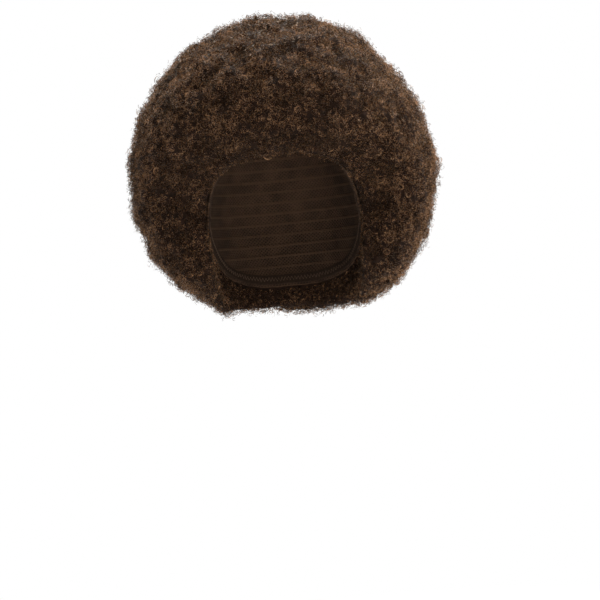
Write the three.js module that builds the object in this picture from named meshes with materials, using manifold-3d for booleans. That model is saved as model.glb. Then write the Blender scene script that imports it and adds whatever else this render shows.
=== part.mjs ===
// Afro wig: a stretch cap with an elastic edge, which carries a ball of tightly curled hair.
// Millimetres, +Z up. The wearer faces -Y, and the wearer's left is +X.
// The origin is where the inside of the cap rests on the crown of the head.
import * as THREE from "three";
import { mergeVertices } from "three/addons/utils/BufferGeometryUtils.js";
import Module from "manifold-3d";

// The head that the cap is stretched over, with the wearer's own hair pinned flat under it.
const headWidth = 154;
const headFront = 98;
const headBack = 100;
const headHeight = 270;
const headSquareness = 2.3;

// The cap's knitted wall, and the elastic sewn inside its edge.
const capWall = 1.6;
const elasticWidth = 10;
const elasticThickness = 1.4;
const elasticHem = 1.5;

// Air left between one solid and the next.
const clearance = 0.3;

// The ball that the hair would fill if it had no opening for face and neck, over the locks: how far it
// stands above the crown, its height and width, and its reach to front and back of the head's axis.
const hairAboveCrown = 101;
const hairHeight = 316;
const hairWidth = 314;
const hairFront = 139;
const hairBack = 163;
const hairSquareness = 2.05;

// The thinnest that the hair gets over the head, and how deep in the head it starts before the hollow is
// cut out of it.
const leastHair = 8;
const rootDepth = 5;

// Locks of curls, spread evenly over the whole ball, each a rounded cap fused to the hair below it. They
// overlap: a lock's reach is half its width as an angle, and variation is how much locks differ.
const lockCount = 250;
const lockReach = THREE.MathUtils.degToRad(9.4);
const lockRise = 12;
const lockVariation = 0.15;
const lockSeed = 7;

// Everything is laid out round a hub, a point inside the head. A direction from the hub has a tilt,
// counted from the pole at the back of the crown, and a turn about that pole, counted from the brow.
// The pole leans back so that the opening for the face and neck lies round the opposite pole.
const hubDepth = 90;
const poleLean = THREE.MathUtils.degToRad(45);
const hub = new THREE.Vector3(0, 0, -hubDepth);
const pole = new THREE.Vector3(0, Math.sin(poleLean), Math.cos(poleLean));
const brow = new THREE.Vector3(0, -Math.cos(poleLean), Math.sin(poleLean));
const side = new THREE.Vector3(1, 0, 0);

// Longer than the wig is anywhere, and how closely a surface is found between the hub and there.
const farReach = 500;
const closeness = 0.0001;

// Each surface is a sphere whose points are moved. Detail is how finely the sphere is divided.
const headDetail = 7;
const hairDetail = 19;
const cutterTurns = 40;
const cutterRings = 4;

// Tilts on the sphere that the hair is drawn from: as far as the first it is a dome, from there to the
// second it rounds over to the hairline, and beyond that it closes inside the head. The squareness is
// the round's own, where 2 is an ellipse.
const domeEnd = THREE.MathUtils.degToRad(84);
const rimEnd = THREE.MathUtils.degToRad(140);
const rimSquareness = 2.6;

// Head and neck, level by level. A level is a share of headHeight below the crown, and the others are
// shares of half the head's width and of its reach to front and back.
const headSections = [
  { level: 0.0, width: 0.0, front: 0.0, back: 0.0 },
  { level: 0.05, width: 0.49, front: 0.47, back: 0.52 },
  { level: 0.13, width: 0.75, front: 0.75, back: 0.78 },
  { level: 0.25, width: 0.93, front: 0.94, back: 0.95 },
  { level: 0.4, width: 1.0, front: 1.0, back: 1.0 },
  { level: 0.52, width: 0.97, front: 0.98, back: 0.92 },
  { level: 0.64, width: 0.91, front: 0.94, back: 0.75 },
  { level: 0.75, width: 0.86, front: 0.86, back: 0.64 },
  { level: 0.87, width: 0.84, front: 0.62, back: 0.6 },
  { level: 1.0, width: 0.8, front: 0.55, back: 0.58 },
];

// The ball of hair, level by level from its top: shares of half its width and of its reach to front and
// back. Sway is how far a level sits towards the wearer's left, as a share of half the width.
const hairSections = [
  { level: 0.0, width: 0.0, front: 0.0, back: 0.0, sway: 0.02 },
  { level: 0.025, width: 0.29, front: 0.3, back: 0.3, sway: 0.03 },
  { level: 0.076, width: 0.53, front: 0.57, back: 0.53, sway: 0.02 },
  { level: 0.18, width: 0.748, front: 0.83, back: 0.74, sway: 0.005 },
  { level: 0.28, width: 0.882, front: 0.96, back: 0.88, sway: 0.0 },
  { level: 0.38, width: 0.957, front: 1.0, back: 0.96, sway: 0.0 },
  { level: 0.5, width: 1.0, front: 1.0, back: 1.0, sway: 0.015 },
  { level: 0.61, width: 0.975, front: 0.96, back: 0.98, sway: 0.01 },
  { level: 0.71, width: 0.91, front: 0.88, back: 0.93, sway: 0.02 },
  { level: 0.81, width: 0.765, front: 0.76, back: 0.83, sway: 0.03 },
  { level: 0.9, width: 0.54, front: 0.6, back: 0.67, sway: 0.06 },
  { level: 0.95, width: 0.38, front: 0.46, back: 0.54, sway: 0.07 },
  { level: 1.0, width: 0.26, front: 0.3, back: 0.4, sway: 0.06 },
];

// The hair's edge round the face and neck, from the forehead at turn 0 to the nape at turn 180, the same
// on both sides. Rim is the share of the way from the pole at which the hair starts to round over.
const hairline = [
  { turn: 0, tilt: 108, rim: 0.84 },
  { turn: 28, tilt: 106.5, rim: 0.84 },
  { turn: 46, tilt: 104.5, rim: 0.84 },
  { turn: 58, tilt: 105, rim: 0.84 },
  { turn: 72, tilt: 110, rim: 0.85 },
  { turn: 90, tilt: 124, rim: 0.86 },
  { turn: 106, tilt: 131, rim: 0.88 },
  { turn: 138, tilt: 124, rim: 0.88 },
  { turn: 155, tilt: 108, rim: 0.88 },
  { turn: 180, tilt: 101, rim: 0.88 },
];

// The cap's edge, in the same way: along the hairline at the front, down in a tab before each ear, up
// over the ear, and across the nape.
const capEdge = [
  { turn: 0, tilt: 105 },
  { turn: 46, tilt: 101.5 },
  { turn: 72, tilt: 106 },
  { turn: 84, tilt: 114 },
  { turn: 98, tilt: 101 },
  { turn: 118, tilt: 99 },
  { turn: 138, tilt: 98 },
  { turn: 160, tilt: 94 },
  { turn: 180, tilt: 92 },
];

const wasm = await Module();
wasm.setup();

// A value from a table at a key between its rows, on a smooth curve that doesn't overshoot them.
// With flat ends the curve is level at the first and last row, as where a mirror image joins it.
function smoothValue(rows, key, valueOf, at, flatEnds) {
  const last = rows.length - 1;
  const place = THREE.MathUtils.clamp(at, rows[0][key], rows[last][key]);
  const slope = (i) => (valueOf(rows[i + 1]) - valueOf(rows[i])) / (rows[i + 1][key] - rows[i][key]);
  const tangent = (i) => {
    if (i === 0 || i === last) return flatEnds ? 0 : slope(i === 0 ? 0 : last - 1);
    const product = slope(i - 1) * slope(i);
    return product <= 0 ? 0 : (2 * product) / (slope(i - 1) + slope(i));
  };
  const i = Math.max(0, rows.findIndex((row) => row[key] >= place) - 1);
  const span = rows[i + 1][key] - rows[i][key];
  const t = (place - rows[i][key]) / span;
  return (
    valueOf(rows[i]) * (1 + 2 * t) * (1 - t) ** 2 +
    tangent(i) * span * t * (1 - t) ** 2 +
    valueOf(rows[i + 1]) * (3 - 2 * t) * t ** 2 -
    tangent(i + 1) * span * t ** 2 * (1 - t)
  );
}

// A table of sections as a form, which gives how far its surface lies from the hub in a direction.
// Widths are read as squares, because the square runs smoothly through a round form's top.
function makeForm({ rows, top, height, halfWidth, front, back, squareness }) {
  const shareAt = (column, level) =>
    Math.sqrt(smoothValue(rows, "level", (row) => row[column] ** 2, level, false));
  const swayAt = (level) => smoothValue(rows, "level", (row) => row.sway ?? 0, level, false);
  const holds = (point) => {
    const level = (top - point.z) / height;
    if (level <= 0 || level >= 1) return false;
    const across = (point.x - swayAt(level) * halfWidth) / (shareAt("width", level) * halfWidth);
    const reach = point.y < 0 ? shareAt("front", level) * front : shareAt("back", level) * back;
    return Math.abs(across) ** squareness + Math.abs(point.y / reach) ** squareness < 1;
  };
  return (direction) => {
    let [inside, outside] = [0, farReach];
    while (outside - inside > closeness) {
      const middle = (inside + outside) / 2;
      if (holds(pointAlong(direction, middle))) inside = middle;
      else outside = middle;
    }
    return inside;
  };
}

// The head's form, grown by so much all round.
function makeHeadForm(growth) {
  return makeForm({
    rows: headSections,
    top: growth,
    height: headHeight + 2 * growth,
    halfWidth: headWidth / 2 + growth,
    front: headFront + growth,
    back: headBack + growth,
    squareness: headSquareness,
  });
}

const headReach = makeHeadForm(0);
const hairReach = makeForm({
  rows: hairSections,
  top: hairAboveCrown - lockRise,
  height: hairHeight - lockRise,
  halfWidth: hairWidth / 2 - lockRise,
  front: hairFront - lockRise,
  back: hairBack - lockRise,
  squareness: hairSquareness,
});

function directionAt(turn, tilt) {
  return new THREE.Vector3()
    .addScaledVector(pole, Math.cos(tilt))
    .addScaledVector(brow, Math.sin(tilt) * Math.cos(turn))
    .addScaledVector(side, Math.sin(tilt) * Math.sin(turn));
}

function pointAlong(direction, reach) {
  return hub.clone().addScaledVector(direction, reach);
}

// A column of an edge table at a turn. The tables give one side, and the other side is its mirror image.
function edgeValue(rows, column, turn) {
  const degrees = THREE.MathUtils.radToDeg(turn);
  const folded = Math.abs(THREE.MathUtils.euclideanModulo(degrees + 180, 360) - 180);
  return smoothValue(rows, "turn", (row) => row[column], folded, true);
}

// The tilt of an edge at a turn, drawn back from it by so many millimetres along the head.
function edgeTilt(rows, turn, drawnBack = 0) {
  const tilt = THREE.MathUtils.degToRad(edgeValue(rows, "tilt", turn));
  return tilt - drawnBack / headReach(directionAt(turn, tilt));
}

// A solid from a sphere of radius 1, each of whose points goes where place puts its turn and tilt.
function drawnSolid(sphere, place) {
  sphere.deleteAttribute("normal");
  sphere.deleteAttribute("uv");
  const { attributes, index } = mergeVertices(sphere);
  const points = [];
  for (let i = 0; i < attributes.position.count; i += 1) {
    const { x, y, z } = new THREE.Vector3().fromBufferAttribute(attributes.position, i);
    points.push(...place(Math.atan2(y, x), Math.atan2(Math.hypot(x, y), z)).toArray());
  }
  const mesh = new wasm.Mesh({
    numProp: 3,
    vertProperties: new Float32Array(points),
    triVerts: new Uint32Array(index.array),
  });
  return new wasm.Manifold(mesh);
}

// The head grown by so much, as a solid.
function headSolid(growth) {
  const reach = makeHeadForm(growth);
  return drawnSolid(new THREE.IcosahedronGeometry(1, headDetail), (turn, tilt) => {
    const direction = directionAt(turn, tilt);
    return pointAlong(direction, reach(direction));
  });
}

// Everything that lies beyond an edge as seen from the hub, to cut a skin off there.
function beyondEdge(rows, drawnBack) {
  const sphere = new THREE.SphereGeometry(1, cutterTurns, cutterRings).rotateX(Math.PI / 2);
  const firstRing = Math.PI / cutterRings;
  return drawnSolid(sphere, (turn, tilt) => {
    if (tilt < firstRing / 2) return hub.clone();
    const past = (tilt - firstRing) / (Math.PI - firstRing);
    const tiltThere = THREE.MathUtils.lerp(edgeTilt(rows, turn, drawnBack), Math.PI, past);
    return pointAlong(directionAt(turn, tiltThere), farReach);
  });
}

// A point on the hair below its locks, for a turn and a tilt on the sphere that the hair is drawn from.
function hairPoint(turn, tilt) {
  const rim = edgeValue(hairline, "rim", turn);
  const down = (Math.PI / 2) * THREE.MathUtils.clamp((tilt - domeEnd) / (rimEnd - domeEnd), 0, 1);
  const past = Math.sin(down) ** (2 / rimSquareness);
  const depth = Math.max(0, Math.cos(down)) ** (2 / rimSquareness);
  const way = tilt < domeEnd ? (rim * tilt) / domeEnd : THREE.MathUtils.lerp(rim, 1, past);
  const direction = directionAt(turn, way * edgeTilt(hairline, turn));
  const inner = headReach(direction);
  const outer = Math.max(hairReach(direction), inner + leastHair);
  const reach = THREE.MathUtils.lerp(inner - rootDepth, outer, depth);
  const closing = Math.max(0, (tilt - rimEnd) / (Math.PI - rimEnd));
  return pointAlong(direction, reach * (1 - closing));
}

// Which way the hair faces at a point, from two short steps along it.
function hairNormal(turn, tilt) {
  const step = THREE.MathUtils.degToRad(1);
  const across = hairPoint(turn + step, tilt).sub(hairPoint(turn - step, tilt));
  const downward = hairPoint(turn, tilt + step).sub(hairPoint(turn, Math.max(0, tilt - step)));
  return downward.cross(across).normalize();
}

// Numbers from 0 to 1 that come in the same order each time.
function makeRandom(seed) {
  let state = seed;
  return () => {
    state = (state + 0x6d2b79f5) | 0;
    let mixed = Math.imul(state ^ (state >>> 15), 1 | state);
    mixed = (mixed + Math.imul(mixed ^ (mixed >>> 7), 61 | mixed)) ^ mixed;
    return ((mixed ^ (mixed >>> 14)) >>> 0) / 2 ** 32;
  };
}

// The locks: each one's place on the sphere, on a golden spiral, and its own reach and rise.
function makeLocks() {
  const random = makeRandom(lockSeed);
  const goldenAngle = Math.PI * (3 - Math.sqrt(5));
  const vary = () => 1 + lockVariation * (2 * random() - 1);
  return Array.from({ length: lockCount }, (_, i) => {
    const tilt = Math.acos(1 - (2 * i + 1) / lockCount);
    return {
      root: new THREE.Vector3().setFromSphericalCoords(1, tilt, i * goldenAngle),
      reach: lockReach * vary(),
      rise: lockRise * vary(),
    };
  });
}

// The hair: at each place the highest lock shows, and locks shrink as the hair nears the hairline.
function hairSolid() {
  const locks = makeLocks();
  const ball = drawnSolid(new THREE.IcosahedronGeometry(1, hairDetail), (turn, tilt) => {
    const place = new THREE.Vector3().setFromSphericalCoords(1, tilt, turn);
    const lifts = locks.map(({ root, reach, rise }) => rise * (1 - (place.angleTo(root) / reach) ** 2));
    const down = THREE.MathUtils.clamp((tilt - domeEnd) / (rimEnd - domeEnd), 0, 1);
    const lift = Math.max(0, ...lifts) * (1 - down ** 2);
    return hairPoint(turn, tilt).addScaledVector(hairNormal(turn, tilt), lift);
  });
  return ball.subtract(headSolid(capWall + clearance));
}

function capSolid() {
  return headSolid(capWall).subtract(headSolid(0)).subtract(beyondEdge(capEdge, 0));
}

// The elastic lies inside the cap, a hem's width up from its edge.
function elasticSolid() {
  return headSolid(-clearance)
    .subtract(headSolid(-clearance - elasticThickness))
    .subtract(beyondEdge(capEdge, elasticHem))
    .intersect(beyondEdge(capEdge, elasticHem + elasticWidth));
}

function meshOf(name, solid, material) {
  const { vertProperties, triVerts } = solid.getMesh();
  const geometry = new THREE.BufferGeometry()
    .setAttribute("position", new THREE.BufferAttribute(vertProperties, 3))
    .setIndex(new THREE.BufferAttribute(triVerts, 1));
  geometry.computeVertexNormals();
  const mesh = new THREE.Mesh(geometry, material);
  mesh.name = name;
  return mesh;
}

const curledFibre = new THREE.MeshStandardMaterial({ color: "#3a2a20", roughness: 0.7, metalness: 0 });
const knittedNet = new THREE.MeshStandardMaterial({ color: "#241a15", roughness: 0.85, metalness: 0 });
const wovenElastic = new THREE.MeshStandardMaterial({ color: "#1b1512", roughness: 0.75, metalness: 0 });

const wig = new THREE.Group();
wig.add(
  meshOf("net_cap", capSolid(), knittedNet),
  meshOf("elastic_edge", elasticSolid(), wovenElastic),
  meshOf("hair", hairSolid(), curledFibre),
);

export default wig;
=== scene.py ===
"""The looks of an afro wig: its curls, the net cap and elastic inside it, and a plain studio.

Metres, +Z up. The opening at the front looks toward -Y, and the origin is on the crown, inside the cap.
"""

import math

import bpy
import numpy as np
from mathutils import Matrix, Vector, kdtree, noise


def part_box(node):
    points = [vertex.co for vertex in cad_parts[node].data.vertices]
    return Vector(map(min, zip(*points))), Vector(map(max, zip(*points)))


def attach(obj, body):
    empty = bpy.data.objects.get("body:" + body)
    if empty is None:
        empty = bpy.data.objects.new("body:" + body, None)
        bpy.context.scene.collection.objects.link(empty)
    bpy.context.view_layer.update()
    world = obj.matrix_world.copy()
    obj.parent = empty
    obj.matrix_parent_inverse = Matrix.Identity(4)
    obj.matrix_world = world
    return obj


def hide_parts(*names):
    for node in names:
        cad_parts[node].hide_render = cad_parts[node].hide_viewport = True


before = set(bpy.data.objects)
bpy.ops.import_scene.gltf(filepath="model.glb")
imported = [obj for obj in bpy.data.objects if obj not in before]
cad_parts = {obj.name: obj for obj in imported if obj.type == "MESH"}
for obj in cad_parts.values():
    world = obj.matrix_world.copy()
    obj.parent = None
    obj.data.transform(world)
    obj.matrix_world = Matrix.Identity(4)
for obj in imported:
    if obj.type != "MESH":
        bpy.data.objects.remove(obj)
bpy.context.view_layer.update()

bl_info = {
    "name": "Afro wig",
    "version": (1, 0, 0),
    "blender": (4, 5, 0),
    "location": "3D View > Sidebar > Wig",
    "description": "Makes the curls, cap and studio of an afro wig round its packed solids",
    "category": "Add Mesh",
}

BODY = "root"

# The cap's lowest and highest corners, and the middle between them, which the hair stands out from.
CAP_LOW, CAP_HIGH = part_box("net_cap")
CAP_MIDDLE = (CAP_LOW + CAP_HIGH) / 2


def linear(code):
    """An sRGB colour code as the linear red, green and blue that Blender works in."""
    channels = [int(code[i : i + 2], 16) / 255 for i in (1, 3, 5)]
    return [c / 12.92 if c <= 0.04045 else ((c + 0.055) / 1.055) ** 2.4 for c in channels]


def colour(name, code, description):
    """A colour that a user can change, with an sRGB code for its default."""
    return bpy.props.FloatVectorProperty(
        name=name, description=description, subtype="COLOR", size=3, min=0, max=1, default=linear(code)
    )


def length(name, metres, description):
    """A length that a user can change."""
    return bpy.props.FloatProperty(
        name=name, description=description, default=metres, min=0, unit="LENGTH", precision=5
    )


class WigHairSettings(bpy.types.PropertyGroup):
    """Sizes and colours of the hair."""

    curl_count: bpy.props.IntProperty(
        name="Curls", description="Curls over the whole ball of hair", default=44000, min=1
    )
    curl_radius: length("Curl radius", 0.0014, "Half the width of a usual curl")
    curl_pitch: length("Curl pitch", 0.0022, "How far a curl climbs in one turn")
    curl_turns: bpy.props.FloatProperty(name="Turns", description="Turns in a curl", default=1.5, min=0.5)
    lock_width: length("Lock width", 0.00044, "Width of the bundle of fibres that a curl is wound from")
    tuft_spacing: length("Tuft spacing", 0.022, "Distance between the tufts that curls lean together in")
    tuft_height: length("Tuft height", 0.0048, "How far a tuft's middle stands over the creases round it")
    ringlet_count: bpy.props.IntProperty(
        name="Ringlets", description="Larger curls that show their rings from outside", default=520, min=1
    )
    ringlet_radius: length("Ringlet radius", 0.0043, "Half the width of a large curl")
    frizz_count: bpy.props.IntProperty(
        name="Frizz loops", description="Loose loops that stand out of the ball", default=8800, min=1
    )
    frizz_reach: length("Frizz reach", 0.0026, "How far loose loops stand out of the ball")
    inner_curl_count: bpy.props.IntProperty(
        name="Inner curls", description="Curls tried on the wall of the hollow", default=14000, min=1
    )
    undercoat_step: length("Undercoat step", 0.0037, "Size of a face of the hair mass under the curls")
    undercoat_depth: length("Undercoat depth", 0.0080, "How far the hair mass lies under the curls' tips")
    # The deep shade colour is painted shade: the near-black that the fibre and the undercoat are painted
    # with deep between the curls and in the crevices, where the coils shade each other.
    deep_shade_colour: colour("Deep shade colour", "#080503", "Fibre deep between the curls")
    fibre_colour: colour("Fibre colour", "#39261b", "Fibre at the outside of a curl")
    # The lit and lighter colour is partly painted light, on the curls that stand high and on the crests of
    # the tufts, and partly the lighter tone of curls, tufts, patches and grain picked at random.
    lit_and_lighter_colour: colour("Lit and lighter colour", "#aa8363", "Fibre of the lighter curls")
    gleam_colour: colour("Gleam colour", "#f2c596", "Light that the fibre mirrors, warmed by its own brown")


class WigCapSettings(bpy.types.PropertyGroup):
    """Sizes and colours of the cap and its elastic."""

    net_spacing: length("Net spacing", 0.0035, "Distance between the cords of the knitted net")
    weft_spacing: length("Weft spacing", 0.011, "Distance between the rows that the hair is sewn on in")
    rib_spacing: length("Rib spacing", 0.0013, "Distance between the ribs across the elastic")
    net_colour: colour("Net colour", "#4a3729", "Knitted polyester net")
    elastic_colour: colour("Elastic colour", "#33261d", "Woven elastic tape")
    thread_colour: colour("Thread colour", "#6b5443", "Sewing thread")
    stitch_length: length("Stitch length", 0.0028, "How far one zigzag of the sewing goes along the tape")
    thread_width: length("Thread width", 0.0006, "Thickness of the sewing thread")


class WigStageSettings(bpy.types.PropertyGroup):
    """The studio."""

    floor_drop: length("Floor drop", 0.56, "How far the floor lies below the crown")
    floor_colour: colour("Floor colour", "#dddcd9", "Painted studio floor")
    key_power: bpy.props.FloatProperty(
        name="Key light", description="Power that each lamp takes its share of", default=30.0, min=0,
        unit="POWER",
    )


def add(tree, kind, values=None, links=None, stops=(), **properties):
    """Adds a node with its settings, the values of its inputs, links from other nodes' outputs, and the
    (place, colour) stops of a colour ramp."""
    node = tree.nodes.new(kind)
    for name, value in properties.items():
        setattr(node, name, value)
    for name, value in (values or {}).items():
        node.inputs[name].default_value = value
    for name, output in (links or {}).items():
        tree.links.new(output, node.inputs[name])
    for _ in stops[2:]:
        node.color_ramp.elements.new(0.5)
    for number, (place, three) in enumerate(stops):
        node.color_ramp.elements[number].position = place
        node.color_ramp.elements[number].color = rgba(three)
    return node


def start_material(name):
    """An empty material, and its node tree."""
    material = bpy.data.materials.new(name)
    material.use_nodes = True
    material.node_tree.nodes.clear()
    return material, material.node_tree


def rgba(three):
    """Red, green and blue with full opacity."""
    return (*three, 1.0)


FIBRE_NAME = "curled_modacrylic_fibre"
UNDERCOAT_NAME = "hair_undercoat"

# Sizes of the patterns in the materials. Single fibres, yarns, plies and paint grain are finer than the
# render shows, so they are drawn as coarse as they need to be to show.
TUFT_PATCH = 0.024
FIBRE_GRAIN = 0.0012
PACKED_COIL = 0.005
PACKED_CRUMB = 0.002
NET_WEAR = 0.018
TAPE_YARN = 0.0015
THREAD_PLY = 0.004
PAINT_PEEL = 0.004

# How much the patches and the grain lighten or darken the fibre, and what is taken away again, a little
# less than the two add on average.
PATCH_WEIGHT = 0.85
GRAIN_WEIGHT = 2.5
MEAN_TAKEN = 1.48


def curled_fibre_material(hair):
    """Modacrylic fibre, spun fine and steam-set into coils: a soft, dull brown with a faint light sheen
    where the coils turn to the lamps. Its colour is painted shade and tone: painted nearly black where the
    coils shade each other and lighter on the tops of curls and tufts, with random patches and grain."""
    material, tree = start_material(FIBRE_NAME)
    place = add(tree, "ShaderNodeTexCoord").outputs["Object"]
    # Painted shade and tone: low where the hair is painted dark as shade, high where it is painted light or
    # is lighter at random.
    painted_shade_and_tone = add(tree, "ShaderNodeAttribute", attribute_name="painted_shade_and_tone").outputs["Fac"]
    patches = add(
        tree, "ShaderNodeTexNoise", {"Scale": 1 / TUFT_PATCH, "Detail": 1.0, "Roughness": 0.5},
        {"Vector": place},
    ).outputs["Fac"]
    strands = add(
        tree, "ShaderNodeTexNoise", {"Scale": 1 / FIBRE_GRAIN, "Detail": 0.0}, {"Vector": place}
    ).outputs["Fac"]
    mixed = add(
        tree, "ShaderNodeMath", {1: PATCH_WEIGHT}, {0: patches, 2: painted_shade_and_tone}, operation="MULTIPLY_ADD"
    ).outputs[0]
    varied = add(
        tree, "ShaderNodeMath", {1: GRAIN_WEIGHT}, {0: strands, 2: mixed}, operation="MULTIPLY_ADD"
    ).outputs[0]
    shifted = add(tree, "ShaderNodeMath", {1: MEAN_TAKEN}, {0: varied}, operation="SUBTRACT").outputs[0]
    colours = add(
        tree, "ShaderNodeValToRGB", links={"Fac": shifted},
        stops=[(0.28, hair.deep_shade_colour), (0.56, hair.fibre_colour), (1.0, hair.lit_and_lighter_colour)],
    ).outputs["Color"]
    fibres = add(
        tree, "ShaderNodeTexNoise", {"Scale": 1 / FIBRE_GRAIN, "Detail": 0.0}, {"Vector": place}
    ).outputs["Fac"]
    bump = add(
        tree, "ShaderNodeBump", {"Strength": 1.0, "Distance": 0.0009}, {"Height": fibres}
    ).outputs["Normal"]
    shader = add(
        tree,
        "ShaderNodeBsdfPrincipled",
        {
            "Roughness": 0.28, "IOR": 1.5, "Specular IOR Level": 0.4,
            "Specular Tint": rgba(hair.gleam_colour),
        },
        {"Base Color": colours, "Normal": bump},
    )
    add(tree, "ShaderNodeOutputMaterial", links={"Surface": shader.outputs["BSDF"]})
    return material


def undercoat_material(hair):
    """The same fibre where it lies packed under the coils: no single coil shows, only a dark crumb of them
    about as coarse as the coils are wide. Its darkness is painted shade, from the deep shade colour in the
    crumb's crevices to half the fibre's colour."""
    material, tree = start_material("packed_modacrylic_fibre")
    place = add(tree, "ShaderNodeTexCoord").outputs["Object"]
    coils = add(
        tree, "ShaderNodeTexVoronoi", {"Scale": 1 / PACKED_COIL, "Randomness": 1.0}, {"Vector": place}
    ).outputs["Distance"]
    crumb = add(
        tree, "ShaderNodeTexNoise", {"Scale": 1 / PACKED_CRUMB, "Detail": 3.0, "Roughness": 0.7},
        {"Vector": place},
    ).outputs["Fac"]
    height = add(
        tree, "ShaderNodeMath", {1: 0.6}, {0: crumb, 2: coils}, operation="MULTIPLY_ADD"
    ).outputs[0]
    # Painted shade: the fibre's colour halved, as the packed fibre lies in the shade of the coils.
    shaded = [c * 0.5 for c in hair.fibre_colour]
    colours = add(
        tree, "ShaderNodeValToRGB", links={"Fac": height}, stops=[(0.25, hair.deep_shade_colour), (1.0, shaded)]
    ).outputs["Color"]
    bump = add(
        tree, "ShaderNodeBump", {"Strength": 0.9, "Distance": 0.0015}, {"Height": height}
    ).outputs["Normal"]
    shader = add(
        tree,
        "ShaderNodeBsdfPrincipled",
        {"Roughness": 0.75, "IOR": 1.5, "Specular IOR Level": 0.1},
        {"Base Color": colours, "Normal": bump},
    )
    add(tree, "ShaderNodeOutputMaterial", links={"Surface": shader.outputs["BSDF"]})
    return material


def knitted_net_material(cap):
    """Polyester net, warp-knitted: a dull dark cloth of fine cords in diamonds, with the raised rows of
    stitches that the hair is sewn on by. The real holes are about 1.5 mm wide, and are drawn more than
    twice that so that they show."""
    material, tree = start_material("knitted_polyester_net")
    place = add(tree, "ShaderNodeTexCoord").outputs["Object"]
    split = add(tree, "ShaderNodeSeparateXYZ", links={"Vector": place})
    around = add(
        tree, "ShaderNodeMath", links={0: split.outputs["X"], 1: split.outputs["Y"]}, operation="ARCTAN2"
    ).outputs[0]
    cap_radius = (CAP_HIGH.x - CAP_LOW.x + CAP_HIGH.y - CAP_LOW.y) / 4
    climb = add(
        tree, "ShaderNodeMath", {1: 2 * math.pi / cap.net_spacing}, {0: split.outputs["Z"]},
        operation="MULTIPLY",
    ).outputs[0]
    cords = []
    for way in (1.0, -1.0):
        across = round(2 * math.pi * cap_radius / cap.net_spacing) * way
        phase = add(
            tree, "ShaderNodeMath", {1: across}, {0: around, 2: climb}, operation="MULTIPLY_ADD"
        ).outputs[0]
        cords.append(add(tree, "ShaderNodeMath", links={0: phase}, operation="SINE").outputs[0])
    net = add(tree, "ShaderNodeMath", links={0: cords[0], 1: cords[1]}, operation="MAXIMUM").outputs[0]
    row_phase = add(
        tree, "ShaderNodeMath", {1: 2 * math.pi / cap.weft_spacing}, {0: split.outputs["Z"]},
        operation="MULTIPLY",
    ).outputs[0]
    row_wave = add(tree, "ShaderNodeMath", links={0: row_phase}, operation="SINE").outputs[0]
    rows = add(
        tree, "ShaderNodeMapRange", {"From Min": 0.6, "From Max": 0.9, "To Max": 2.5}, {"Value": row_wave}
    ).outputs["Result"]
    height = add(tree, "ShaderNodeMath", links={0: net, 1: rows}, operation="ADD").outputs[0]
    worn = add(
        tree, "ShaderNodeTexNoise", {"Scale": 1 / NET_WEAR, "Detail": 4.0}, {"Vector": place}
    ).outputs["Fac"]
    shade = add(
        tree, "ShaderNodeMath", {1: 0.25}, {0: height, 2: worn}, operation="MULTIPLY_ADD"
    ).outputs[0]
    dark = [c * 0.3 for c in cap.net_colour]
    colours = add(
        tree, "ShaderNodeValToRGB", links={"Fac": shade}, stops=[(0.35, dark), (0.8, cap.net_colour)]
    ).outputs["Color"]
    bump = add(
        tree, "ShaderNodeBump", {"Strength": 0.8, "Distance": 0.0008}, {"Height": height}
    ).outputs["Normal"]
    shader = add(
        tree,
        "ShaderNodeBsdfPrincipled",
        {"Roughness": 0.9, "IOR": 1.5, "Specular IOR Level": 0.2},
        {"Base Color": colours, "Normal": bump},
    )
    add(tree, "ShaderNodeOutputMaterial", links={"Surface": shader.outputs["BSDF"]})
    return material


def woven_elastic_material(cap):
    """Elastic tape, polyester woven round rubber: close ribs across the tape, matt, darker in between."""
    material, tree = start_material("woven_elastic_tape")
    place = add(tree, "ShaderNodeTexCoord").outputs["Object"]
    split = add(tree, "ShaderNodeSeparateXYZ", links={"Vector": place})
    along = add(
        tree, "ShaderNodeMath", links={0: split.outputs["X"], 1: split.outputs["Y"]}, operation="ARCTAN2"
    ).outputs[0]
    tape_low, tape_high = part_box("elastic_edge")
    tape_radius = (tape_high.x - tape_low.x) / 2
    phase = add(
        tree, "ShaderNodeMath", {1: 2 * math.pi * tape_radius / cap.rib_spacing}, {0: along},
        operation="MULTIPLY",
    ).outputs[0]
    ribs = add(tree, "ShaderNodeMath", links={0: phase}, operation="SINE").outputs[0]
    yarn = add(
        tree, "ShaderNodeTexNoise", {"Scale": 1 / TAPE_YARN, "Detail": 3.0}, {"Vector": place}
    ).outputs["Fac"]
    height = add(tree, "ShaderNodeMath", {1: 0.5}, {0: ribs, 2: yarn}, operation="MULTIPLY_ADD").outputs[0]
    dark = [c * 0.5 for c in cap.elastic_colour]
    colours = add(
        tree, "ShaderNodeValToRGB", links={"Fac": height}, stops=[(0.0, dark), (1.0, cap.elastic_colour)]
    ).outputs["Color"]
    bump = add(
        tree, "ShaderNodeBump", {"Strength": 0.7, "Distance": 0.0004}, {"Height": height}
    ).outputs["Normal"]
    shader = add(
        tree,
        "ShaderNodeBsdfPrincipled",
        {"Roughness": 0.8, "IOR": 1.5, "Specular IOR Level": 0.12},
        {"Base Color": colours, "Normal": bump},
    )
    add(tree, "ShaderNodeOutputMaterial", links={"Surface": shader.outputs["BSDF"]})
    return material


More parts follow.
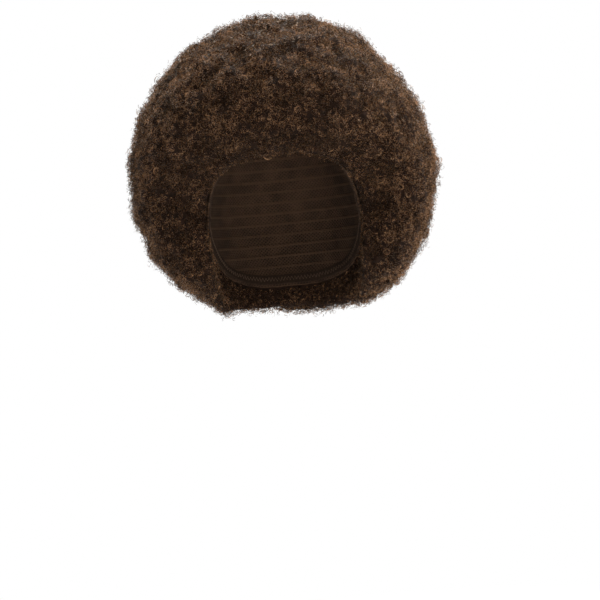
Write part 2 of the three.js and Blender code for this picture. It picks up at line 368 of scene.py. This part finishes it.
def sewing_thread_material(cap):
    """Spun polyester thread, two plies twisted together: a matt brown line, lighter than the tape it is
    sewn through, with a slant of shade where the plies cross."""
    material, tree = start_material("spun_polyester_thread")
    place = add(tree, "ShaderNodeTexCoord").outputs["Object"]
    plies = add(
        tree, "ShaderNodeTexWave", {"Scale": 1 / THREAD_PLY, "Distortion": 1.0}, {"Vector": place},
        bands_direction="DIAGONAL",
    ).outputs["Fac"]
    dark = [c * 0.6 for c in cap.thread_colour]
    colours = add(
        tree, "ShaderNodeValToRGB", links={"Fac": plies}, stops=[(0.2, dark), (0.8, cap.thread_colour)]
    ).outputs["Color"]
    bump = add(
        tree, "ShaderNodeBump", {"Strength": 0.5, "Distance": 0.0001}, {"Height": plies}
    ).outputs["Normal"]
    shader = add(
        tree, "ShaderNodeBsdfPrincipled", {"Roughness": 0.75}, {"Base Color": colours, "Normal": bump}
    )
    add(tree, "ShaderNodeOutputMaterial", links={"Surface": shader.outputs["BSDF"]})
    return material


# How far from the middle of the floor its painted glow starts, and where it is full: the floor glows white
# towards its edge in place of light from the backdrop.
WASH_START, WASH_END = 0.1, 0.62


def painted_floor_material(stage):
    """Studio board under matt emulsion paint, rolled on: pale, even, with a very fine orange-peel. Towards
    its edge it is painted light: it glows white more and more, fading into the backdrop, as if the
    backdrop's light washed over it."""
    material, tree = start_material("matt_painted_board")
    place = add(tree, "ShaderNodeTexCoord").outputs["Object"]
    peel = add(
        tree, "ShaderNodeTexNoise", {"Scale": 1 / PAINT_PEEL, "Detail": 2.0}, {"Vector": place}
    ).outputs["Fac"]
    bump = add(
        tree, "ShaderNodeBump", {"Strength": 0.1, "Distance": 0.0002}, {"Height": peel}
    ).outputs["Normal"]
    darker = [c * 0.97 for c in stage.floor_colour]
    colours = add(
        tree, "ShaderNodeValToRGB", links={"Fac": peel}, stops=[(0.3, darker), (0.7, stage.floor_colour)]
    ).outputs["Color"]
    from_middle = add(tree, "ShaderNodeVectorMath", links={0: place}, operation="LENGTH").outputs["Value"]
    # Painted light: the share of white glow, from none near the middle to full at the edge.
    wash = add(
        tree,
        "ShaderNodeMapRange",
        {"From Min": WASH_START, "From Max": WASH_END, "To Min": 0.0, "To Max": 1.0},
        {"Value": from_middle},
        interpolation_type="SMOOTHERSTEP",
    ).outputs["Result"]
    paint = add(
        tree, "ShaderNodeBsdfPrincipled", {"Roughness": 0.9}, {"Base Color": colours, "Normal": bump}
    )
    glow = add(tree, "ShaderNodeEmission", {"Color": (1, 1, 1, 1), "Strength": 1.0})
    shader = add(
        tree, "ShaderNodeMixShader", links={0: wash, 1: paint.outputs["BSDF"], 2: glow.outputs["Emission"]}
    )
    add(tree, "ShaderNodeOutputMaterial", links={"Surface": shader.outputs["Shader"]})
    return material


def mesh_object(name, points, faces, material):
    """A mesh as a new object in the scene, smooth shaded."""
    mesh = bpy.data.meshes.new(name)
    mesh.from_pydata(points.tolist(), [], faces.tolist())
    mesh.polygons.foreach_set("use_smooth", np.ones(len(mesh.polygons), bool))
    mesh.materials.append(material)
    piece = bpy.data.objects.new(name, mesh)
    bpy.context.scene.collection.objects.link(piece)
    return piece


def unit(vectors):
    """Vectors made 1 long."""
    return vectors / np.maximum(np.linalg.norm(vectors, axis=-1, keepdims=True), 1e-12)


def points_and_normals(mesh):
    """A mesh's points and their normals, as two arrays."""
    arrays = []
    for name in ("co", "normal"):
        flat = np.empty(len(mesh.vertices) * 3)
        mesh.vertices.foreach_get(name, flat)
        arrays.append(flat.reshape(-1, 3))
    return arrays


def outward(points, normals):
    """How far each point's normal turns away from the cap's middle: 1 outside the ball, -1 in its hollow."""
    return (unit(points - np.array(CAP_MIDDLE)) * normals).sum(1)


def scatter(mesh, count, least_outward, most_outward, draw):
    """Points at random over the faces of a triangle mesh that turn that far outward, and their normals."""
    points, normals = points_and_normals(mesh)
    corners = np.empty(len(mesh.polygons) * 3, int)
    mesh.polygons.foreach_get("vertices", corners)
    corners = corners.reshape(-1, 3)
    a, b, c = (points[corners[:, i]] for i in range(3))
    crossed = np.cross(b - a, c - a)
    area = np.linalg.norm(crossed, axis=1)
    facing = outward((a + b + c) / 3, unit(crossed))
    area[(facing < least_outward) | (facing > most_outward)] = 0
    chosen = draw.choice(len(corners), count, p=area / area.sum())
    u, v = draw.random((2, count, 1))
    folded = u + v > 1
    u, v = np.where(folded, 1 - u, u), np.where(folded, 1 - v, v)
    weights = (1 - u - v, u, v)
    place = sum(w * points[corners[chosen, i]] for i, w in enumerate(weights))
    normal = sum(w * normals[corners[chosen, i]] for i, w in enumerate(weights))
    return place, unit(normal)


def search_tree(points):
    """A tree that finds the points near a place."""
    tree = kdtree.KDTree(len(points))
    for i, point in enumerate(points):
        tree.insert(point, i)
    tree.balance()
    return tree


# The start of each piece's random draws.
SEEDS = {"tufts": 5, "curls": 11, "ringlets": 17, "frizz": 23, "inner_curls": 31}

# How far outward the faces turn that carry each kind of curl, from -1 in the hollow to 1 outside. The
# curls of the ball end at the rim of the hollow, and the inner curls start there.
TUFTS_FROM = -0.6
RIM = -0.35
FRIZZ_FROM = -0.2
RINGLETS_FROM = 0.0

# Spots tried as the middle of a tuft, and the share of the spacing that keeps others away and that a
# tuft reaches to.
TUFT_SPOTS = 12000
TUFT_APART = 0.8
TUFT_REACH = 0.6


def tuft_lean(place, hair):
    """For each place, the way to the middle of its tuft, 1 long at the tuft's edge, how high it stands in
    its tuft from 0 to 1, and the tuft's own random share from 0 to 1."""
    draw = np.random.default_rng(SEEDS["tufts"])
    spots, _ = scatter(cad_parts["hair"].data, TUFT_SPOTS, TUFTS_FROM, 1.0, draw)
    near = search_tree(spots)
    taken = np.zeros(len(spots), bool)
    middles = []
    for i, spot in enumerate(spots):
        if taken[i]:
            continue
        middles.append(spot)
        for _, j, _ in near.find_range(spot, hair.tuft_spacing * TUFT_APART):
            taken[j] = True
    middles = np.array(middles)
    shares = draw.random(len(middles))
    tree = search_tree(middles)
    nearest = np.array([tree.find(point)[1] for point in place])
    lean = (middles[nearest] - place) / (hair.tuft_spacing * TUFT_REACH)
    crest = np.clip(1 - (lean**2).sum(1), 0, 1)
    return lean, crest, shares[nearest]


def bowed(share):
    """A curl's width along its length: it is widest in the middle."""
    return 0.65 + 0.5 * np.sin(math.pi * (0.15 + 0.75 * share))


def closing(share):
    """A ringlet's width along its length: it closes towards its tip."""
    return 1 - 0.6 * share


def vary(draw, count, least, extra, power=1):
    """A random number for each curl, from the least to that plus the extra. A power over 1 makes low
    numbers usual, and one under 1 high numbers."""
    return least + extra * draw.random(count) ** power


# How much narrower a curl's ribbon is at its ends.
END_NARROWING = 0.6


def coils(place, normal, axis, radius, pitch, turns, depth, width, steps, draw, profile=bowed):
    """A ribbon wound into a coil at each place. Gives its points, its faces, and the share of the way
    along its coil that each point lies at."""
    count = len(place)
    helper = unit(draw.normal(size=(count, 3)))
    u = unit(np.cross(axis, helper))
    v = np.cross(axis, u)
    share = np.linspace(0, 1, steps + 1)[None, :, None]
    hand = np.where(draw.random((count, 1, 1)) < 0.5, -1.0, 1.0)
    angle = draw.random((count, 1, 1)) * 2 * math.pi + hand * 2 * math.pi * turns[:, None, None] * share
    ray = np.cos(angle) * u[:, None] + np.sin(angle) * v[:, None]
    climb = (pitch * turns)[:, None, None] * share
    middle = place[:, None] - normal[:, None] * depth[:, None, None] + axis[:, None] * climb
    line = middle + ray * (radius[:, None, None] * profile(share))
    across = unit(ray + axis[:, None])
    half = across * (width[:, None, None] / 2) * (1 - END_NARROWING * np.abs(2 * share - 1) ** 3)
    points = np.stack([line - half, line + half], axis=2).reshape(-1, 3)
    first = (np.arange(count)[:, None] * (steps + 1) + np.arange(steps)[None, :]).reshape(-1) * 2
    faces = np.column_stack([first, first + 1, first + 3, first + 2])
    shares = np.repeat(np.broadcast_to(share[..., 0], (count, steps + 1)).reshape(-1), 2)
    return points, faces, shares


def set_painted_shade_and_tone(piece, values):
    """Stores each point's painted shade and tone, which the fibre's colour follows: lower toward the roots
    and deep in the hair where the coils shade it, higher where it stands out, and varied by random tone.
    """
    attribute = piece.data.attributes.new("painted_shade_and_tone", "FLOAT", "POINT")
    attribute.data.foreach_set("value", values.astype(np.float32))


def finish_hair_piece(piece):
    """A piece of the hair rides with the wig."""
    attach(piece, BODY)


# The ball is fuller on its +X side, above the middle: the way there, how far round it the fullness
# goes, and how far it stands out.
FULL_SIDE = np.array((0.946, 0.0, 0.325))
FULL_SIDE_SPREAD = math.radians(28)
FULL_SIDE_LIFT = 0.004


def full_side(points):
    """How much of the fuller side's lift each point gets, from 0 to 1."""
    toward = unit(points - np.array(CAP_MIDDLE)) @ FULL_SIDE
    share = np.clip(1 - (1 - toward) / (1 - math.cos(FULL_SIDE_SPREAD)), 0, 1)
    return share**2 * (3 - 2 * share)


# How the mass under the curls is softened, where it turns from outside to hollow, the size and height
# of its crumb, and how far it stands back from the solid in the hollow.
SMOOTH_ROUNDS = 22
SMOOTH_FACTOR = 0.5
OUTER_START, OUTER_SPAN = -0.4, 0.5
CRUMB_SIZE = 0.006
CRUMB_HEIGHT = 0.0010
HOLLOW_RECESS = 0.0006

# Pieces that the curls of the ball are shared out over.
CURL_PIECES = 5

# How much a curl of the ball stands straight out, leans to the middle of its tuft, and strays.
STANDING, LEANING, STRAYING = 0.75, 0.35, 0.85

# How much lighter each makes a curl of the ball: its height and its place on its tuft, which are painted
# shade, darker deep in the hair and in the creases between tufts, and its own chance and its tuft's chance,
# which are random tone. A curl is fully light where the face under it turns this far outward; where that
# face turns to the hollow, painted shade halves its lightness.
HEIGHT_LIGHT, CREST_LIGHT, OWN_LIGHT, TUFT_LIGHT = 0.22, 0.34, 0.06, 0.12
FULLY_OUTWARD = 0.8

# How far a ringlet climbs in one turn at least, and how much further at most, and how far its tip
# stands past the curls round it.
RINGLET_PITCH, RINGLET_PITCH_EXTRA = 0.0007, 0.0006
RINGLET_LIFT = 0.0012

# How far an inner curl stands off the wall of the hollow at least, and how much further at most.
INNER_LIFT, INNER_LIFT_EXTRA = 0.0004, 0.0008

# How far the inner curls keep away from the cap.
CAP_CLEARANCE = 0.0035

# Straight steps that a curl's ribbon is drawn in.
CURL_STEPS = 8
RINGLET_STEPS = 20
FRIZZ_STEPS = 6
INNER_STEPS = 9


class WIG_OT_undercoat(bpy.types.Operator):
    """Make the mass of packed hair under the curls"""

    bl_idname = "wig.undercoat"
    bl_label = "Undercoat"

    def execute(self, context):
        hair = context.scene.wig_hair
        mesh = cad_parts["hair"].data.copy()
        mesh.name = UNDERCOAT_NAME
        piece = bpy.data.objects.new(UNDERCOAT_NAME, mesh)
        context.scene.collection.objects.link(piece)
        remesh = piece.modifiers.new("even_faces", "REMESH")
        remesh.mode = "VOXEL"
        remesh.voxel_size = hair.undercoat_step
        smooth = piece.modifiers.new("softened", "SMOOTH")
        smooth.factor = SMOOTH_FACTOR
        smooth.iterations = SMOOTH_ROUNDS
        piece.modifiers.new("triangles", "TRIANGULATE")
        shaped = bpy.data.meshes.new_from_object(
            piece.evaluated_get(context.evaluated_depsgraph_get())
        )
        piece.modifiers.clear()
        piece.data = shaped
        shaped.name = UNDERCOAT_NAME
        points, normals = points_and_normals(shaped)
        facing = outward(points, normals)
        outer = np.clip((facing - OUTER_START) / OUTER_SPAN, 0, 1)
        _, crest, _ = tuft_lean(points, hair)
        crumb = np.array([noise.noise(Vector(p) / CRUMB_SIZE) for p in points])
        swell = hair.tuft_height * crest + CRUMB_HEIGHT * crumb + FULL_SIDE_LIFT * full_side(points)
        moved = outer * (swell - hair.undercoat_depth) - (1 - outer) * HOLLOW_RECESS
        shaped.vertices.foreach_set("co", (points + normals * moved[:, None]).ravel())
        shaped.update()
        shaped.materials.clear()
        shaped.materials.append(undercoat_material(hair))
        shaped.polygons.foreach_set("use_smooth", np.ones(len(shaped.polygons), bool))
        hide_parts("hair")
        finish_hair_piece(piece)
        return {"FINISHED"}


class WIG_OT_curls(bpy.types.Operator):
    """Make the curls that cover the ball, in several pieces"""

    bl_idname = "wig.curls"
    bl_label = "Curls"

    def execute(self, context):
        hair = context.scene.wig_hair
        draw = np.random.default_rng(SEEDS["curls"])
        material = curled_fibre_material(hair)
        surface = bpy.data.objects[UNDERCOAT_NAME].data
        place, normal = scatter(surface, hair.curl_count, RIM, 1.0, draw)
        lean, crest, tuft = tuft_lean(place, hair)
        count = len(place)
        tangle = unit(draw.normal(size=(count, 3)))
        axis = unit(normal * STANDING + lean * LEANING + tangle * STRAYING)
        upright = np.abs((axis * normal).sum(1))
        own = draw.random(count)
        radius = hair.curl_radius * (0.65 + 0.35 * tuft + 0.5 * own**2)
        turns = hair.curl_turns * vary(draw, count, 0.8, 0.4)
        pitch = hair.curl_pitch * vary(draw, count, 0.6, 0.7)
        reach = hair.undercoat_depth - hair.tuft_height
        height = reach * vary(draw, count, 0.1, 1.1, 0.7)
        depth = pitch * turns * upright * 0.5 - height
        width = hair.lock_width * vary(draw, count, 0.7, 0.6)
        turned_out = np.clip(outward(place, normal) / FULLY_OUTWARD, 0, 1)
        # Painted light and shade from the curl's height and its place on its tuft, with random tone from its
        # own and its tuft's chance.
        light = HEIGHT_LIGHT * height / reach + CREST_LIGHT * crest + OWN_LIGHT * own**3 + TUFT_LIGHT * tuft
        # Painted shade: curls on faces turned toward the hollow are darkened, down to half.
        light *= 0.5 + 0.5 * turned_out
        groups = np.array_split(np.arange(count), CURL_PIECES)
        for number, group in enumerate(groups, 1):
            points, faces, shares = coils(
                place[group], normal[group], axis[group], radius[group], pitch[group], turns[group],
                depth[group], width[group], CURL_STEPS, draw,
            )
            piece = mesh_object(f"curls_{number}", points, faces, material)
            each = np.repeat(light[group], 2 * CURL_STEPS + 2)
            # Painted shade: each curl is darker toward its root, deep in the hair.
            set_painted_shade_and_tone(piece, each * (0.6 + 0.4 * shares))
            finish_hair_piece(piece)
        return {"FINISHED"}


class WIG_OT_ringlets(bpy.types.Operator):
    """Make the larger curls that show their rings from outside"""

    bl_idname = "wig.ringlets"
    bl_label = "Ringlets"

    def execute(self, context):
        hair = context.scene.wig_hair
        draw = np.random.default_rng(SEEDS["ringlets"])
        material = bpy.data.materials[FIBRE_NAME]
        surface = bpy.data.objects[UNDERCOAT_NAME].data
        place, normal = scatter(surface, hair.ringlet_count, RINGLETS_FROM, 1.0, draw)
        _, crest, _ = tuft_lean(place, hair)
        count = len(place)
        axis = unit(normal + 0.3 * draw.normal(size=(count, 3)))
        radius = hair.ringlet_radius * vary(draw, count, 0.75, 0.4)
        turns = vary(draw, count, 1.6, 0.5)
        pitch = vary(draw, count, RINGLET_PITCH, RINGLET_PITCH_EXTRA)
        top = hair.undercoat_depth - hair.tuft_height * (0.75 - 0.25 * crest)
        depth = pitch * turns - top - RINGLET_LIFT
        width = hair.lock_width * vary(draw, count, 0.8, 0.4)
        points, faces, shares = coils(
            place, normal, axis, radius, pitch, turns, depth, width, RINGLET_STEPS, draw, closing
        )
        piece = mesh_object("ringlets", points, faces, material)
        # Random tone, with painted shade darkening each ringlet toward its root.
        light = np.repeat(vary(draw, count, 0.5, 0.35), 2 * RINGLET_STEPS + 2)
        set_painted_shade_and_tone(piece, light * (0.8 + 0.2 * shares))
        finish_hair_piece(piece)
        return {"FINISHED"}


class WIG_OT_frizz(bpy.types.Operator):
    """Make the loose loops that stand out of the ball"""

    bl_idname = "wig.frizz"
    bl_label = "Frizz"

    def execute(self, context):
        hair = context.scene.wig_hair
        draw = np.random.default_rng(SEEDS["frizz"])
        material = bpy.data.materials[FIBRE_NAME]
        surface = bpy.data.objects[UNDERCOAT_NAME].data
        place, normal = scatter(surface, hair.frizz_count, FRIZZ_FROM, 1.0, draw)
        count = len(place)
        tangle = unit(draw.normal(size=(count, 3)))
        axis = unit(normal * 0.5 + tangle)
        radius = hair.curl_radius * vary(draw, count, 0.5, 1.0, 2)
        turns = vary(draw, count, 0.8, 0.6)
        pitch = hair.curl_pitch * vary(draw, count, 0.5, 1.5)
        _, crest, _ = tuft_lean(place, hair)
        top = hair.undercoat_depth - hair.tuft_height * crest
        depth = -0.8 * top - hair.frizz_reach * vary(draw, count, 0.0, 1.0, 1.5)
        width = 0.8 * hair.lock_width * vary(draw, count, 0.7, 0.6)
        points, faces, shares = coils(
            place, normal, axis, radius, pitch, turns, depth, width, FRIZZ_STEPS, draw
        )
        piece = mesh_object("frizz", points, faces, material)
        # Painted shade: each loop is darker toward its root.
        set_painted_shade_and_tone(piece, 0.15 + 0.25 * shares)
        finish_hair_piece(piece)
        return {"FINISHED"}


class WIG_OT_lining_curls(bpy.types.Operator):
    """Make the flattened curls on the wall of the hollow, below the cap's edge"""

    bl_idname = "wig.lining_curls"
    bl_label = "Inner curls"

    def execute(self, context):
        hair = context.scene.wig_hair
        draw = np.random.default_rng(SEEDS["inner_curls"])
        material = bpy.data.materials[FIBRE_NAME]
        surface = bpy.data.objects[UNDERCOAT_NAME].data
        place, normal = scatter(surface, hair.inner_curl_count, -1.0, RIM, draw)
        below_cap = np.array([gap_to_cap(p) for p in place]) > CAP_CLEARANCE
        place, normal = place[below_cap], normal[below_cap]
        count = len(place)
        tangle = unit(draw.normal(size=(count, 3)))
        axis = unit(normal + 0.6 * tangle)
        radius = hair.curl_radius * vary(draw, count, 0.7, 0.7)
        turns = vary(draw, count, 1.2, 0.8)
        pitch = hair.curl_pitch * vary(draw, count, 0.25, 0.25)
        depth = -vary(draw, count, INNER_LIFT, INNER_LIFT_EXTRA)
        width = hair.lock_width * vary(draw, count, 0.6, 0.5)
        points, faces, shares = coils(
            place, normal, axis, radius, pitch, turns, depth, width, INNER_STEPS, draw
        )
        piece = mesh_object("inner_curls", points, faces, material)
        # Random tone, mostly low, so the inner curls are darker than the curls of the ball, with painted
        # shade darkening each curl toward its root.
        light = np.repeat(vary(draw, count, 0.1, 0.5, 3), 2 * INNER_STEPS + 2)
        set_painted_shade_and_tone(piece, light * (0.6 + 0.4 * shares))
        finish_hair_piece(piece)
        return {"FINISHED"}


def gap_to_cap(point):
    """How far a point lies from the cap."""
    found, spot, _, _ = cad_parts["net_cap"].closest_point_on_mesh(Vector(point))
    return (spot - Vector(point)).length if found else math.inf


class WIG_OT_cap(bpy.types.Operator):
    """Dress the net cap and its elastic edge"""

    bl_idname = "wig.cap"
    bl_label = "Cap and elastic"

    def execute(self, context):
        cap = context.scene.wig_cap
        for node, material in (
            ("net_cap", knitted_net_material(cap)),
            ("elastic_edge", woven_elastic_material(cap)),
        ):
            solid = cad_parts[node]
            solid.data.materials.clear()
            solid.data.materials.append(material)
        return {"FINISHED"}


# Where the zigzag turns, as shares of the tape's width, how wide a slice of the tape each turn is
# measured in, in radians, and how far the thread lies off the tape.
LOWER_TURN, UPPER_TURN = 0.3, 0.7
SLICE = 0.05
THREAD_LIFT = 0.0002


def zigzag_on_tape(stitch):
    """Points of a zigzag between the two edges of the elastic's inner face, once round the cap."""
    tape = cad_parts["elastic_edge"]
    points, _ = points_and_normals(tape.data)
    middle = points.mean(0)
    flat = points - middle
    forward, aside, through = np.linalg.svd(flat, full_matrices=False)[2]
    angle = np.arctan2(flat @ aside, flat @ forward)
    loop_length = 2 * math.pi * np.hypot(flat @ forward, flat @ aside).mean()
    count = 2 * round(loop_length / stitch)
    zigzag = []
    for step, turn in enumerate(np.linspace(-math.pi, math.pi, count, endpoint=False)):
        apart = np.abs((angle - turn + math.pi) % (2 * math.pi) - math.pi)
        levels = (flat @ through)[apart < SLICE]
        if not len(levels):
            continue
        share = LOWER_TURN if step % 2 else UPPER_TURN
        level = levels.min() + (levels.max() - levels.min()) * share
        way = Vector(forward * math.cos(turn) + aside * math.sin(turn))
        found, spot, normal, _ = tape.ray_cast(Vector(middle + through * level), way)
        if found:
            zigzag.append(np.array(spot + normal * THREAD_LIFT))
    return np.array(zigzag)


def thread_along(line, width):
    """A closed thread with four sides along a line of points. Gives its points and faces."""
    ahead = unit(np.roll(line, -1, 0) - np.roll(line, 1, 0))
    inward = unit(line.mean(0) - line)
    across = unit(np.cross(ahead, inward))
    inward = np.cross(across, ahead)
    rings = np.stack([line + side * width / 2 for side in (across, inward, -across, -inward)], axis=1)
    count = len(line)
    here = np.arange(count)[:, None] * 4 + np.arange(4)[None, :]
    beside = np.roll(here, -1, 1)
    faces = np.stack([here, beside, np.roll(beside, -1, 0), np.roll(here, -1, 0)], axis=2)
    return rings.reshape(-1, 3), faces.reshape(-1, 4)


class WIG_OT_stitches(bpy.types.Operator):
    """Sew the elastic to the cap with a zigzag"""

    bl_idname = "wig.stitches"
    bl_label = "Stitches"

    def execute(self, context):
        cap = context.scene.wig_cap
        points, faces = thread_along(zigzag_on_tape(cap.stitch_length), cap.thread_width)
        piece = mesh_object("elastic_stitches", points, faces, sewing_thread_material(cap))
        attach(piece, BODY)
        return {"FINISHED"}


FLOOR_RADIUS = 2.2
BACKDROP_RADIUS = 9.0

# The camera, which looks level along +Y from just above the lower edge of the hair. The wig leans to its
# -X side in the photograph, so the camera rolls by as much.
CAMERA_PLACE = (0.008, -2.5, -0.188)
CAMERA_LENS_MM = 150
CAMERA_ROLL = math.radians(5.3)

# The slightly warm white of the studio's lamps and air, and how brightly the air glows.
WARM = linear("#fff8ef")
AIR_STRENGTH = 0.14

# The lamps: each one's name, place, width, and share of the key light's power.
LAMPS = (
    ("key_lamp", (1.2, -1.0, 1.3), 0.6, 0.6),
    ("top_lamp", (0.1, 0.55, 1.5), 0.8, 2.35),
    ("left_rim_lamp", (-1.7, 0.4, 0.1), 0.7, 0.62),
    ("right_rim_lamp", (1.7, 0.2, 0.1), 0.7, 1.2),
    ("fill_lamp", (0.4, -2.3, -0.5), 1.0, 1.2),
)


def area_lamp(name, place, size, power):
    """A round soft lamp at a place, turned to the middle of the cap."""
    lamp = bpy.data.lights.new(name, "AREA")
    lamp.shape = "DISK"
    lamp.size = size
    lamp.energy = power
    lamp.color = WARM
    holder = bpy.data.objects.new(name, lamp)
    holder.location = place
    holder.rotation_mode = "QUATERNION"
    holder.rotation_quaternion = (CAP_MIDDLE - Vector(place)).to_track_quat("-Z", "Y")
    bpy.context.scene.collection.objects.link(holder)


class WIG_OT_stage(bpy.types.Operator):
    """Make the floor, backdrop, lamps and camera"""

    bl_idname = "wig.stage"
    bl_label = "Studio"

    def execute(self, context):
        stage = context.scene.wig_stage
        scene = context.scene
        bpy.ops.mesh.primitive_circle_add(vertices=128, radius=FLOOR_RADIUS, fill_type="TRIFAN",
                                          location=(0, 0, -stage.floor_drop))
        floor = context.object
        floor.name = "floor"
        floor.data.materials.append(painted_floor_material(stage))
        bpy.ops.mesh.primitive_uv_sphere_add(segments=48, ring_count=24, radius=BACKDROP_RADIUS)
        backdrop = context.object
        backdrop.name = "backdrop"
        paper, tree = start_material("lit_seamless_paper")
        glow = add(tree, "ShaderNodeEmission", {"Color": (1, 1, 1, 1), "Strength": 1.0})
        add(tree, "ShaderNodeOutputMaterial", links={"Surface": glow.outputs["Emission"]})
        backdrop.data.materials.append(paper)
        backdrop.visible_diffuse = False
        backdrop.visible_glossy = False
        backdrop.visible_transmission = False
        backdrop.visible_shadow = False

        for name, place, size, share in LAMPS:
            area_lamp(name, place, size, stage.key_power * share)
        world = bpy.data.worlds.new("studio_air")
        world.use_nodes = True
        background = world.node_tree.nodes["Background"]
        background.inputs["Color"].default_value = rgba(WARM)
        background.inputs["Strength"].default_value = AIR_STRENGTH
        scene.world = world
        scene.view_settings.view_transform = "Standard"

        camera = bpy.data.cameras.new("camera")
        camera.lens = CAMERA_LENS_MM
        holder = bpy.data.objects.new("camera", camera)
        cosine, sine = math.cos(CAMERA_ROLL), math.sin(CAMERA_ROLL)
        turned = Matrix(((cosine, sine, 0), (0, 0, -1), (-sine, cosine, 0))).to_4x4()
        holder.matrix_world = Matrix.Translation(CAMERA_PLACE) @ turned
        scene.collection.objects.link(holder)
        scene.camera = holder
        return {"FINISHED"}


class WIG_PT_panel(bpy.types.Panel):
    """The wig's operators, in the order they run"""

    bl_idname = "WIG_PT_panel"
    bl_label = "Afro wig"
    bl_space_type = "VIEW_3D"
    bl_region_type = "UI"
    bl_category = "Wig"

    def draw(self, context):
        for operator in OPERATORS:
            self.layout.operator(operator.bl_idname)


SETTINGS = {"wig_hair": WigHairSettings, "wig_cap": WigCapSettings, "wig_stage": WigStageSettings}
OPERATORS = (
    WIG_OT_undercoat,
    WIG_OT_curls,
    WIG_OT_ringlets,
    WIG_OT_frizz,
    WIG_OT_lining_curls,
    WIG_OT_cap,
    WIG_OT_stitches,
    WIG_OT_stage,
)


def register():
    """Registers the add-on's classes and its settings on the scene."""
    for kind in (*SETTINGS.values(), *OPERATORS, WIG_PT_panel):
        bpy.utils.register_class(kind)
    for name, group in SETTINGS.items():
        setattr(bpy.types.Scene, name, bpy.props.PointerProperty(type=group))


def unregister():
    """Takes the classes and settings away again."""
    for name in SETTINGS:
        delattr(bpy.types.Scene, name)
    for kind in (WIG_PT_panel, *reversed(OPERATORS), *SETTINGS.values()):
        bpy.utils.unregister_class(kind)


def main():
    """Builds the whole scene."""
    register()
    bpy.ops.wig.undercoat()
    bpy.ops.wig.curls()
    bpy.ops.wig.ringlets()
    bpy.ops.wig.frizz()
    bpy.ops.wig.lining_curls()
    bpy.ops.wig.cap()
    bpy.ops.wig.stitches()
    bpy.ops.wig.stage()


if __name__ == "__main__":
    main()
